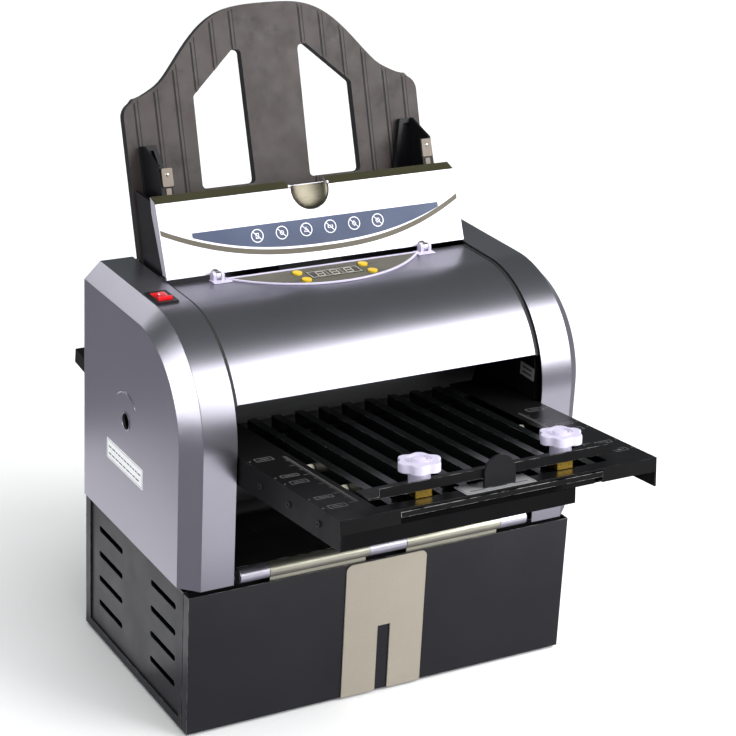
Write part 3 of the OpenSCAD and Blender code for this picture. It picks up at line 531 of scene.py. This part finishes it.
def feed_cover_band(face):
    """A dark band that sags across the cover."""
    band_width, half_width, count = 4.7, 148, 74
    steps = [-half_width + 2 * half_width * k / count for k in range(count + 1)]
    top = [(x, dip(x, 10, 158 if x < 10 else 138, 12, 31)) for x in steps]
    bottom = [(x, y - band_width) for x, y in reversed(top)]
    bm = bmesh.new()
    prism(bm, [top + bottom], -0.05, 0.12)
    face.add("feed_cover_band", bm, MATERIAL_EXTRA["band"], soft=0.04)


def feed_cover_label(face):
    """A blue crescent above the band, with a flat top."""
    left, right, top, count = -119, 127, 37.2, 60
    across = [left + (right - left) * k / count for k in range(count + 1)]
    sag = [(x, dip(x, 8, 127 if x < 8 else 119, 14, 19)) for x in across]
    bm = bmesh.new()
    prism(bm, [sag + [(right, top), (left, top)]], -0.05, 0.1)
    face.add("feed_cover_label", bm, MATERIAL_EXTRA["label_blue"])


def feed_cover_rings(face):
    """Six crossed-out rings on the label, each round a plain generic shape."""
    pitch, middle, height = 24.12, 2.5, 27.8
    signs = [
        box2d(-1.6, -2.4, 1.6, 2.4),
        circle(0, 0, 2.0, 20),
        [(-2.4, -2.0), (2.4, -2.0), (0, 2.6)],
        box2d(-2.6, -1.2, 2.6, 1.2),
        [(-2.2, 0), (0, -2.6), (2.2, 0), (0, 2.6)],
        circle(0, 0, 2.3, 6),
    ]
    bm = bmesh.new()
    for k, sign in enumerate(signs):
        x = middle + pitch * (k - 2.5)
        y = height
        prism(bm, [circle(x, y, 6.0), circle(x, y, 5.2)], 0.06, 0.16)
        prism(bm, [turned(box2d(-5.3, -0.35, 5.3, 0.35), -45, x, y)], 0.06, 0.17)
        outer = turned(sign, 0, x, y)
        inner = turned([(px * 0.68, py * 0.68) for px, py in sign], 0, x, y)
        prism(bm, [outer, inner], 0.06, 0.15)
    face.add("feed_cover_rings", bm, MATERIAL_EXTRA["print_white"])


def feed_cover_scoop(face):
    """The finger scoop: a thin shallow bowl, cut off straight just above its middle."""
    radius, depth, wall, cut, height = 18.2, 5.3, 0.25, 4.4, 63.5
    bowl = [(radius * math.sin(math.radians(a)), -depth * math.cos(math.radians(a)))
            for a in range(0, 91, 6)]
    back = [(x * 1.008, z - wall) for x, z in reversed(bowl[1:])]
    bm = bmesh.new()
    lathe(bm, bowl + [(radius + 0.15, 0.05)] + back + [(0, -depth - wall)], 96)
    everything = bm.verts[:] + bm.edges[:] + bm.faces[:]
    bmesh.ops.bisect_plane(bm, geom=everything, plane_co=(0, cut, 0), plane_no=(0, 1, 0), clear_outer=True)
    bmesh.ops.holes_fill(bm, edges=[e for e in bm.edges if len(e.link_faces) == 1], sides=0)
    bmesh.ops.translate(bm, verts=bm.verts, vec=(0, height, 0))
    face.add("feed_cover_scoop", bm, MATERIAL_EXTRA["satin"])


# ---------- Control panel: digits and marks ----------

# Where each bar of a figure lies, in half widths and half heights.
SEGMENTS = ((0, 1), (1, 0.5), (1, -0.5), (0, -1), (-1, -0.5), (-1, 0.5), (0, 0))


def digit(bm, x, y, wide, tall):
    """A leaning seven-segment figure made of six-sided bars, with all seven lit."""
    half_w, half_h, thick = wide / 2, tall / 2, 0.8
    slant = math.tan(math.radians(6))
    for sx, sy in SEGMENTS:
        flat = sx == 0
        reach = half_w - 0.4 if flat else half_h / 2 - 0.3
        bar = [(-reach, 0), (-reach + thick / 2, -thick / 2), (reach - thick / 2, -thick / 2), (reach, 0),
               (reach - thick / 2, thick / 2), (-reach + thick / 2, thick / 2)]
        cx, cy = sx * half_w, sy * half_h
        bar = turned(bar, 0 if flat else 90, cx, cy)
        prism(bm, [[(x + px + py * slant, y + py) for px, py in bar]], *PRINT)


def display_marks():
    """Three lit figures in a thin frame with two dividing lines."""
    display = Face("display_window", (0, 0, 1))
    pitch, wide, tall = 14, 6.4, 10.5
    bm = bmesh.new()
    for k in (-1, 0, 1):
        digit(bm, pitch * k, display.height / 2, wide, tall)
    display.add("display_digits", bm, MATERIAL_EXTRA["digit"])
    bm = bmesh.new()
    frame_line(bm, display.left + 1, 1, display.right - 1, display.height - 1, 0.5, *PRINT)
    for x in (-7.5, 6.5):
        prism(bm, [box2d(x, 2.2, x + 0.35, display.height - 2.2)], *PRINT)
    display.add("display_frame", bm, MATERIAL_EXTRA["digit"])


def panel_marks():
    """Rows of dashes beside the buttons, and a row of four small arrows with dashes near the top."""
    plate = Face("panel_plate", (0, 0, 1))
    bm = bmesh.new()
    for side in (-1, 1):
        for y in (30.1, 12.0):
            for k in range(3):
                x = side * (41 + 3.4 * k)
                prism(bm, [box2d(x - 1.1, y - 0.35, x + 1.1, y + 0.35)], *PRINT)
    for k in range(4):
        x = -16 + 9 * k
        prism(bm, [turned([(-1.2, -1), (1.2, -1), (0, 1.2)], 90 * k, x, 33)], *PRINT)
        prism(bm, [box2d(x + 2.4, 32.6, x + 5.2, 33.2)], *PRINT)
    plate.add("panel_marks", bm, MATERIAL_EXTRA["print_dark"])


# ---------- Side covers ----------

def gap_shadow_strip():
    """A dark strip along both ends of the curved cover, reaching into the gap beside it: painted shadow of
    the gap.
    """
    radius, width, reach, proud, depth = 96.5, 2.3, 1.2, 0.4, 1.0
    low, high = (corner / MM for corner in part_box("top_cover"))
    centre_z = high.z - radius
    sweep = math.asin((low.z - centre_z) / radius)
    centre_y = low.y + radius * math.cos(sweep)
    steps = 40
    path = []
    for k in range(steps + 1):
        a = sweep + (math.pi / 2 - sweep) * k / steps
        path.append((centre_y - radius * math.cos(a), centre_z + radius * math.sin(a)))
    path.append((high.y - 0.5, high.z))
    # The path is drawn in y and z, and the section's second axis becomes x.
    upright = Matrix(((0, 0, 1), (1, 0, 0), (0, 1, 0))).to_4x4() @ Matrix.Scale(MM, 4)
    section = [(-depth, 0), (proud, 0), (proud, width + reach), (-depth, width + reach)]
    bm = bmesh.new()
    for start in (-high.x - reach, high.x - width):
        ridge(bm, path, section, start)
    bm.transform(upright)
    # The strip takes the rubber finish as painted shadow of the gap.
    new_object("top_cover_gap_shadow", bm, MATERIAL["rubber"], node="top_cover")


def cover_hole_trim(face):
    """A rim in the access hole and a raised arc over it."""
    x, y, arc_radius = -10.3, 109.0, 26
    bm = bmesh.new()
    lathe(bm, [(7.2, -2.0), (8.6, -2.0), (8.6, 0.35), (8.2, 0.6), (7.6, 0.6), (7.2, 0.3)], 48,
          Matrix.Translation((x, y, 0)), closed=True)
    face.add("cover_hole_rim", bm, MATERIAL["cover_silver"])

    bm = bmesh.new()
    arc = [(x + arc_radius * math.cos(math.radians(a)), y + arc_radius * math.sin(math.radians(a)))
           for a in range(42, 133, 3)]
    ridge(bm, arc, [(-1.1, -0.2), (1.1, -0.2), (0.7, 0.45), (0, 0.7), (-0.7, 0.45)])
    face.add("cover_arc", bm, MATERIAL["cover_silver"])


def cover_sticker(face):
    """A white sticker with a border and two rows of plain bars."""
    bm = bmesh.new()
    prism(bm, [soft_box(-51, 59, 26, 78, 1.2)], -0.05, 0.15)
    face.add("cover_sticker", bm, MATERIAL_EXTRA["paper_white"])
    bm = bmesh.new()
    frame_line(bm, -49.8, 60.2, 24.8, 76.8, 0.3, 0.1, 0.2)
    rng = random.Random(5)
    for y in (64.5, 71.0):
        x = -46.5
        while x < 18:
            wide = rng.uniform(3, 7)
            prism(bm, [box2d(x, y - 0.6, min(x + wide, 21.5), y + 0.6)], 0.1, 0.2)
            x += wide + 1.6
    face.add("cover_sticker_lines", bm, MATERIAL_EXTRA["print_dark"])


def opening_label():
    """A small label on the right frame, seen in the front opening."""
    inside = Face("right_frame", (-1, 0, 0))
    above_table = 269.5
    low = above_table - inside.matrix.translation.z / MM
    bm = bmesh.new()
    prism(bm, [soft_box(73, low, 95.5, low + 12, 0.8)], *LABEL)
    inside.add("opening_label", bm, MATERIAL_EXTRA["foil"], soft=0.06)
    bm = bmesh.new()
    for rise in (3, 7.5):
        prism(bm, [box2d(77, low + rise, 91, low + rise + 1.6)], *ON_LABEL)
    inside.add("opening_label_lines", bm, MATERIAL_EXTRA["print_dark"])


# ---------- Front fold plate: prints, label, screws, sleeves, painted shade under the front edge and a painted lip highlight ---

def ruler(bm, x, step_dir, y0, y1):
    """A scale with longer ticks at every fifth and tenth line, and a bar along their roots."""
    pitch = 2.5
    count = int((y1 - y0) / pitch)
    for k in range(count + 1):
        y = y0 + pitch * k
        long = 8.0 if k % 10 == 0 else 5.5 if k % 5 == 0 else 3.0
        x0, x1 = sorted((x, x + step_dir * long))
        prism(bm, [box2d(x0, y - 0.18, x1, y + 0.18)], *PRINT)
    x0, x1 = sorted((x, x + step_dir * 0.4))
    prism(bm, [box2d(x0, y0, x1, y1)], *PRINT)


def plate_1_print(top):
    """A scale along each side of the window, and a column of empty size boxes beside it."""
    rows = ((154, 162), (109, 115), (92, 99), (51, 57), (28, 35))
    bm = bmesh.new()
    for side in (-1, 1):
        ruler(bm, side * 113.5, side, 33, 156)
        x0, x1 = sorted((side * 124.5, side * 140))
        for low, high in rows:
            middle = (low + high) / 2
            frame_line(bm, x0, low, x1, high, 0.45, *PRINT)
            prism(bm, [box2d(x0 + 3, middle - 0.3, x1 - 3, middle + 0.3)], *PRINT)
            prism(bm, [circle(side * 145, middle, 0.7, 12)], *PRINT)
    top.add("plate_1_print", bm, MATERIAL_EXTRA["print_grey"])


def plate_1_label(top):
    """A foil label with a border and three plain bars."""
    bm = bmesh.new()
    prism(bm, [soft_box(-34, 0.6, 31, 21.5, 0.8)], *LABEL)
    top.add("plate_1_label", bm, MATERIAL_EXTRA["foil"], soft=0.06)
    bm = bmesh.new()
    frame_line(bm, -32.5, 2.0, 29.5, 20.0, 0.4, *ON_LABEL)
    for k in range(3):
        prism(bm, [box2d(-28 + 20 * k, 5.5, -14 + 20 * k, 6.7)], *ON_LABEL)
    top.add("plate_1_label_lines", bm, MATERIAL_EXTRA["print_dark"])


def plate_1_screws(top):
    """Three small screws in each side flange."""
    below = -13
    for name, toward in (("left", -1), ("right", 1)):
        flange = Face("plate_1_channel", (toward, 0, 0))
        place = flange.matrix.inverted()
        bm = bmesh.new()
        for back in (134, 84, 34):
            spot = place @ (top.matrix @ Vector((toward * top.right, back, below)))
            cross_screw(bm, spot.x, spot.y, 2.9, back)
        flange.add("plate_1_screws_" + name, bm, MATERIAL["base_black"])


def plate_1_sleeves(top):
    """Bright sleeves on the cross rods, seen through the window beside the outermost rails."""
    inner, outer, start, end, soft = 2.25, 4.1, 97.2, 107.7, 0.3
    profile = [(inner, start), (outer - soft, start), (outer, start + soft), (outer, end - soft),
               (outer - soft, end), (inner, end)]
    bm = bmesh.new()
    for side in (-1, 1):
        for row in (81, 139):
            place = Matrix.Translation((0, row, -8.5)) @ Matrix.Rotation(side * math.pi / 2, 4, "Y")
            lathe(bm, profile, 32, place, closed=True)
    top.add("plate_1_rod_sleeves", bm, MATERIAL_EXTRA["sleeve"], node="plate_1_ribs")


def plate_1_shade_apron(top):
    """A black sheet under the front edge, left of the steel bracket, made near black as painted shade under
    the edge.
    """
    bm = bmesh.new()
    prism(bm, [box2d(-147.0, 0.4, 68, 1.6)], -25, -12)
    top.add("plate_1_shade_apron", bm, MATERIAL_EXTRA["shade_apron"], soft=0.2)


def plate_1_lip_highlight():
    """A ragged bright line along the bed's front edge: painted highlight."""
    lip = Face("plate_1_bed", (0, -1, 0))
    rng = random.Random(3)
    half_width, count = 94, 64
    upper = [(-half_width + 2 * half_width * k / count, lip.height + 0.15 - rng.uniform(0, 0.25))
             for k in range(count + 1)]
    lower = [(x, y - rng.uniform(0.5, 0.9)) for x, y in reversed(upper)]
    bm = bmesh.new()
    prism(bm, [upper + lower], -0.1, 0.12)
    # Painted highlight, in the bright sleeve finish.
    lip.add("plate_1_lip_highlight", bm, MATERIAL_EXTRA["sleeve"])


# ---------- Knobs ----------

def knob_trim(node):
    """Two raised rings and a low button on a knob's top."""
    face = Face(node, (0, 0.1, 1))
    bm = bmesh.new()
    centre = face.matrix.inverted() @ ((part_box(node)[0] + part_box(node)[1]) / 2)
    place = Matrix.Translation((centre.x, centre.y, 0))
    for inner, outer in ((7.2, 8.3), (9.8, 10.5)):
        ring = [(inner, SUNK), (outer, SUNK), (outer, 0.3), (outer - 0.25, 0.5), (inner + 0.25, 0.5),
                (inner, 0.3)]
        lathe(bm, ring, 48, place, closed=True)
    lathe(bm, [(0, SUNK), (5.6, SUNK), (5.6, 0.5), (5.0, 0.9), (0, 1.1)], 48, place)
    face.add(node + "_rings", bm, MATERIAL["white_plastic"])


# ---------- Feed tray ribs and guides ----------

def rib_shade_lines():
    """Dark lines on both sides of each moulded rib, as painted shade beside the ribs, wherever the tray is
    behind them.
    """
    board = TRAY_BOARD
    inward = (board.matrix.to_3x3() @ Vector((0, 0, -1))).normalized()
    data = NODES["feed_tray"].data
    tree = BVHTree.FromPolygons([v.co for v in data.vertices], [tuple(f.vertices) for f in data.polygons])
    first, pitch, half, thick = 34.8, 20.0, 1.9, 0.8
    low, step, margin, shortest = 14, 1.0, 1.5, 6

    def backed(x, y):
        """Whether the tray's face is right behind both edges of a line at this height."""
        return all(tree.ray_cast(board.matrix @ Vector((edge, y, 1)), inward, 2 * MM)[0]
                   for edge in (x - thick, x + thick))

    def stretches(x):
        """The parts of a line that have the tray behind them, short of every edge."""
        start = low
        for k in range(int((board.height - low) / step) + 2):
            y = low + k * step
            if backed(x, y):
                continue
            if y - step - start > shortest:
                yield start, y - step - margin
            start = y + step + margin

    bm = bmesh.new()
    for side in (-1, 1):
        for k in range(6):
            for middle in (first + pitch * k - half, first + pitch * k + half):
                x = side * middle
                for y0, y1 in stretches(x):
                    strip = soft_box(x - thick / 2, y0, x + thick / 2, y1, 0.35, 2)
                    prism(bm, [strip], -0.2, 0.3)
    # Painted shade lines, in the dark rim finish.
    board.add("feed_tray_rib_shade", bm, MATERIAL_EXTRA["rim_dark"])


def guide_clips():
    """A beige clip in two parts, with a rivet, on the front wall of each paper guide."""
    # How far the guide's front wall stands ahead of its back plate, where the board is.
    ahead = 34.9
    for side, node in ((-1, "guide_left"), (1, "guide_right")):
        front = Face(node, (0, -1, 0.3))
        x = side * 129.6
        bm = bmesh.new()
        place = Matrix.Translation((0, 0, ahead))
        prism(bm, [soft_box(x - 5, 51.5, x + 5, 67.5, 1.2), circle(x, 62, 1.5, 20)], -0.2, 0.9, place)
        prism(bm, [soft_box(x - 2.4, 36.0, x + 2.4, 50.0, 0.8)], -0.4, 0.4, place)
        front.add(node + "_clip", bm, MATERIAL_EXTRA["clip_beige"], soft=0.25)
        bm = bmesh.new()
        rivet(bm, x, 62, 1.9, ahead + 0.6)
        front.add(node + "_clip_rivet", bm, MATERIAL["steel"])


# ---------- Screws, rear trim and rating plate ----------

def screws(name, face, spots, radius=3.0):
    """Cross-head screws on a board, each turned its own way."""
    bm = bmesh.new()
    rng = random.Random(len(name))
    for x, y in spots:
        cross_screw(bm, x, y, radius, rng.uniform(0, 90))
    face.add(name, bm, MATERIAL["gear_steel"])


def case_screws():
    """The screws that hold the covers and the base, on the back and the sides."""
    for node in ("left_side_cover", "right_side_cover"):
        rear = Face(node, (0, 1, 0))
        x = (rear.left + rear.right) / 2
        screws(node + "_screws", rear, [(x, 14), (x, rear.height / 2), (x, rear.height - 30)])
    rear = Face("rear_covers", (0, 1, 0))
    x = rear.right - 7
    rows = (7, 34, rear.height - 60, rear.height - 8)
    screws("rear_cover_screws", rear, [(side * x, y) for side in (-1, 1) for y in rows])
    base = Face("base_pan", (0, 1, 0))
    x = base.right - 8
    screws("base_rear_screws", base, [(side * x, y) for side in (-1, 1) for y in (8, base.height - 8)])
    for side, name in ((-1, "left"), (1, "right")):
        panel = Face("side_panels", (side, 0, 0))
        spots = [(x, y) for x in (panel.left + 6, panel.right - 6) for y in (6, panel.height - 6)]
        screws("side_panel_screws_" + name, panel, spots, 2.4)


def rear_trim():
    """Screws beside the mains inlet, and a rating plate ruled into empty fields."""
    inlet = Face("power_inlet", (0, 1, 0))
    x = (inlet.left + inlet.right) / 2
    y = inlet.height / 2
    screws("inlet_screws", inlet, [(x - 17, y), (x + 17, y)], 2.2)

    base = Face("base_pan", (0, 1, 0))
    bm = bmesh.new()
    prism(bm, [soft_box(-40, 40, 40, 86, 2)], -0.05, 0.4)
    base.add("rating_plate", bm, MATERIAL_EXTRA["foil"], soft=0.1)
    bm = bmesh.new()
    frame_line(bm, -37.5, 42.5, 37.5, 83.5, 0.4, 0.3, 0.45)
    for k in range(3):
        prism(bm, [box2d(-37.5, 51 + 10 * k, 37.5, 51.3 + 10 * k)], 0.3, 0.45)
    prism(bm, [box2d(6, 42.5, 6.3, 83.5)], 0.3, 0.45)
    base.add("rating_plate_lines", bm, MATERIAL_EXTRA["print_dark"])


def switch_mark():
    """A short bar on the rocker."""
    face = Face("power_rocker", (0, -0.3, 1))
    bm = bmesh.new()
    x = (face.left + face.right) / 2
    prism(bm, [box2d(x - 0.4, face.height / 2 - 1.6, x + 0.4, face.height / 2 + 1.6)], -0.05, 0.08)
    face.add("rocker_mark", bm, MATERIAL_EXTRA["print_white"])


# Painted shadow: a dark strip where the curved cover meets the side covers.
gap_shadow_strip()
for trim in (feed_cover_band, feed_cover_label, feed_cover_rings, feed_cover_scoop):
    trim(COVER_BOARD)
display_marks()
panel_marks()
left_cover = Face("left_side_cover", (-1, 0, 0))
cover_hole_trim(left_cover)
cover_sticker(left_cover)
opening_label()
plate_top = Face("plate_1_channel", (0, 0, 1))
for trim in (plate_1_print, plate_1_label, plate_1_screws, plate_1_sleeves, plate_1_shade_apron):
    trim(plate_top)
# Painted highlight along the bed's front edge.
plate_1_lip_highlight()
for node in ("knob_1_left", "knob_1_right", "knob_2_left", "knob_2_right"):
    knob_trim(node)
# Painted shade beside the tray's ribs.
rib_shade_lines()
guide_clips()
case_screws()
rear_trim()
switch_mark()


# ---------- Camera, floor and light ----------

def camera():
    """The photo's view: a long lens from the front left, with a slight roll."""
    yaw, pitch, roll = math.radians(30.26), math.radians(22.17), math.radians(2.92)
    ahead = Vector((math.sin(yaw) * math.cos(pitch), math.cos(yaw) * math.cos(pitch), -math.sin(pitch)))
    level = ahead.cross(UP).normalized()
    above = level.cross(ahead)
    right = math.cos(roll) * level + math.sin(roll) * above
    top = -math.sin(roll) * level + math.cos(roll) * above
    data = bpy.data.cameras.new("camera")
    data.lens = 108.7
    data.sensor_width = 36
    data.clip_end = 50
    eye = bpy.data.objects.new("camera", data)
    bpy.context.scene.collection.objects.link(eye)
    turn = Matrix((right, top, -ahead)).transposed().to_4x4()
    eye.matrix_world = Matrix.Translation((-0.8953, -1.5962, 1.0177)) @ turn
    bpy.context.scene.camera = eye


def softbox(name, place, target, width, height, power, mirrored=False, seen=True):
    """A soft rectangular lamp; a mirrored one shows in glossy surfaces, an unseen one only there."""
    data = bpy.data.lights.new(name, "AREA")
    data.shape = "RECTANGLE"
    data.size = width
    data.size_y = height
    data.energy = power
    lamp = bpy.data.objects.new(name, data)
    bpy.context.scene.collection.objects.link(lamp)
    lamp.location = place
    lamp.rotation_euler = (Vector(target) - Vector(place)).to_track_quat("-Z", "Y").to_euler()
    lamp.visible_glossy = mirrored
    lamp.visible_camera = False
    lamp.visible_diffuse = seen


def floor():
    """A wide sheet of white paper under the machine."""
    bm = bmesh.new()
    bmesh.ops.create_grid(bm, x_segments=1, y_segments=1, size=60)
    mesh = bpy.data.meshes.new("floor")
    bm.to_mesh(mesh)
    bm.free()
    sheet = bpy.data.objects.new("floor", mesh)
    bpy.context.scene.collection.objects.link(sheet)
    s = Shader("floor_paper", 0.9, specular=0.1)
    s.colour(s.ramp(s.noise(3, 2), 0.3, 0.7, srgb(248, 248, 249), srgb(251, 251, 252)))
    mesh.materials.append(s.material)
    sheet.visible_glossy = False


def sky():
    """A dim room: a little lighter low in front, dark overhead and behind."""
    world = bpy.data.worlds.new("studio")
    bpy.context.scene.world = world
    world.use_nodes = True
    nodes, links = world.node_tree.nodes, world.node_tree.links
    coord = nodes.new("ShaderNodeTexCoord")
    split = nodes.new("ShaderNodeSeparateXYZ")
    ramp = nodes.new("ShaderNodeValToRGB")
    spread = nodes.new("ShaderNodeMapRange")
    spread.inputs["From Min"].default_value = -0.4
    spread.inputs["From Max"].default_value = 0.5
    ramp.color_ramp.elements[0].position = 0.0
    ramp.color_ramp.elements[0].color = (0.34, 0.335, 0.375, 1)
    ramp.color_ramp.elements[1].position = 1.0
    ramp.color_ramp.elements[1].color = (0.085, 0.105, 0.095, 1)
    links.new(coord.outputs["Generated"], split.inputs[0])
    links.new(split.outputs["Z"], spread.inputs["Value"])
    links.new(spread.outputs["Result"], ramp.inputs["Fac"])
    links.new(ramp.outputs["Color"], nodes["Background"].inputs["Color"])
    nodes["Background"].inputs["Strength"].default_value = 1.0


def sun(strength):
    """Wide and even, so the floor comes out near white all over."""
    data = bpy.data.lights.new("sun", "SUN")
    data.energy = strength
    data.angle = math.radians(100)
    lamp = bpy.data.objects.new("sun", data)
    bpy.context.scene.collection.objects.link(lamp)
    lamp.rotation_euler = (math.radians(18), math.radians(12), 0)
    lamp.visible_glossy = False


def studio():
    """Paper, sky, an even sun, and lamps given by place, target, width, height and watts."""
    floor()
    sky()
    sun(2.9)
    softbox("key", (1.42, -1.62, 1.55), (0, 0, 0.28), 1.7, 2.1, 75, mirrored=True)
    softbox("side", (-2.0, -0.62, 1.2), (0, 0, 0.28), 2.0, 1.7, 50, mirrored=True, seen=False)
    softbox("back", (-0.86, 1.9, 1.36), (0, 0, 0.3), 0.9, 0.7, 4.5, mirrored=True, seen=False)
    softbox("fill", (-2.2, -0.7, 1.0), (0, 0, 0.2), 1.4, 1.2, 12)
    softbox("front_glow", (0.36, -0.64, 0.004), (0.36, -0.64, 1), 0.9, 0.56, 2.1, mirrored=True, seen=False)
    softbox("table_glow", (-0.31, 0.25, 0.004), (-0.31, 0.25, 1), 0.22, 0.5, 0.3, mirrored=True, seen=False)
    bpy.context.scene.view_settings.view_transform = "Standard"


camera()
studio()
